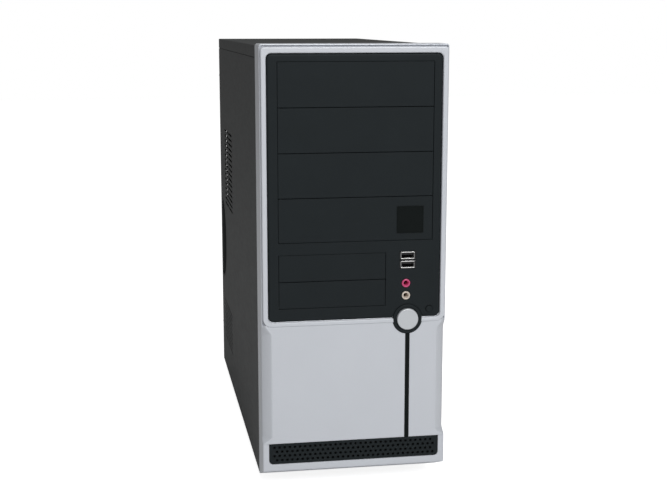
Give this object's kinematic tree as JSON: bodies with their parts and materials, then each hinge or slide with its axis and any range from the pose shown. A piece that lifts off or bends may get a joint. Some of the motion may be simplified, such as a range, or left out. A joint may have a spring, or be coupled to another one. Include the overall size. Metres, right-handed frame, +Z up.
{
  "type": "desktop computer tower",
  "caption": "Upright desktop computer with a silver and dark plastic front, steel case, sliding side panels, drive bays, board, power supply and fans",
  "frame": {"origin": "on the floor, under the middle of the bounding box", "axes": "+Z up, the front faces -Y, +X to the right of a person facing the front"},
  "size_m": [0.18, 0.479, 0.433],
  "materials": {
    "case_steel_black": "fine textured powder coat",
    "chassis_steel": "bare galvanised sheet",
    "silver_plastic": "silver painted plastic, satin",
    "dark_plastic": "fine grained moulding",
    "badge_black": "smooth",
    "button_silver": "satin silver",
    "plated_steel": "bright nickel plate",
    "chrome_wire": "bright",
    "black_plastic": "moulded",
    "pink_plastic": "moulded",
    "pale_plastic": "moulded",
    "board_green": "solder mask",
    "socket_plastic": "moulded",
    "brass": "turned",
    "fin_aluminium": "extruded",
    "led_lens": "clear tinted",
    "disk_case": "cast",
    "yellow_lead": "insulated wires",
    "red_lead": "flat lead jacket",
    "grey_lead": "insulated wires",
    "foot_rubber": "matt"
  },
  "bodies": {
    "tower": {"base_pan": "chassis_steel", "rear_panel": "chassis_steel", "front_plate": "chassis_steel", "motherboard_tray": "chassis_steel", "top_cover": "case_steel_black", "optical_cage": "chassis_steel", "drive_cage": "chassis_steel", "front_bezel": "silver_plastic", "fascia": "dark_plastic", "bay_cover_1": "dark_plastic", "bay_cover_2": "dark_plastic", "bay_cover_3": "dark_plastic", "bay_cover_4": "dark_plastic", "small_bay_cover_1": "dark_plastic", "small_bay_cover_2": "dark_plastic", "badge": "badge_black", "lower_grille": "dark_plastic", "light_strip": "badge_black", "button_ring": "dark_plastic", "front_switches": "black_plastic", "usb_shells": "plated_steel", "usb_tongues": "black_plastic", "mic_jack": "pink_plastic", "earphone_jack": "pale_plastic", "front_io_board": "board_green", "indicator_leds": "led_lens", "motherboard": "board_green", "standoffs": "brass", "cpu_heatsink": "fin_aluminium", "cpu_fan_frame": "black_plastic", "chipset_heatsink": "fin_aluminium", "memory_modules": "board_green", "board_sockets": "socket_plastic", "slot_covers": "chassis_steel", "io_shield": "chassis_steel", "io_ports": "black_plastic", "audio_ports": "black_plastic", "psu_base": "chassis_steel", "psu_cover": "chassis_steel", "psu_fan_frame": "black_plastic", "psu_fan_guard": "chrome_wire", "power_inlet": "black_plastic", "rear_fan_frame": "black_plastic", "rear_fan_guard": "chrome_wire", "hard_drive": "disk_case", "power_cable": "yellow_lead", "data_cable": "red_lead", "panel_cable": "grey_lead", "case_screws": "plated_steel", "feet": "foot_rubber"},
    "left_panel": {"left_side_panel": "case_steel_black", "left_panel_screws": "plated_steel"},
    "right_panel": {"right_side_panel": "case_steel_black", "right_panel_screws": "plated_steel"},
    "power_button": {"power_button": "button_silver"},
    "reset_button": {"reset_button": "dark_plastic"},
    "rear_fan": {"rear_fan_rotor": "black_plastic"},
    "supply_fan": {"psu_fan_rotor": "black_plastic"},
    "processor_fan": {"cpu_fan_rotor": "black_plastic"},
    "mains_rocker": {"psu_rocker": "black_plastic"}
  },
  "joints": [
    {"name": "left_panel_slide", "type": "slide", "parent": "tower", "child": "left_panel", "axis": [0, 1, 0], "range_m": [0, 0.45]},
    {"name": "right_panel_slide", "type": "slide", "parent": "tower", "child": "right_panel", "axis": [0, 1, 0], "range_m": [0, 0.45]},
    {"name": "power_press", "type": "slide", "parent": "tower", "child": "power_button", "axis": [0, 1, 0], "range_m": [0, 0.003], "stiffness_N_per_m": 400, "springref_m": -0.0015},
    {"name": "reset_press", "type": "slide", "parent": "tower", "child": "reset_button", "axis": [0, 1, 0], "range_m": [0, 0.0015], "stiffness_N_per_m": 300, "springref_m": -0.001},
    {"name": "rear_fan_spin", "type": "hinge", "parent": "tower", "child": "rear_fan", "pos_m": [-0.03, 0.2195, 0.275], "axis": [0, 1, 0], "continuous": true},
    {"name": "supply_fan_spin", "type": "hinge", "parent": "tower", "child": "supply_fan", "pos_m": [-0.022, 0.2185, 0.384], "axis": [0, 1, 0], "continuous": true},
    {"name": "processor_fan_spin", "type": "hinge", "parent": "tower", "child": "processor_fan", "pos_m": [0.0145, 0.1155, 0.265], "axis": [1, 0, 0], "continuous": true},
    {"name": "rocker_tilt", "type": "hinge", "parent": "tower", "child": "mains_rocker", "pos_m": [0.044, 0.2315, 0.404], "axis": [1, 0, 0], "range_deg": [-20, 0]}
  ]
}
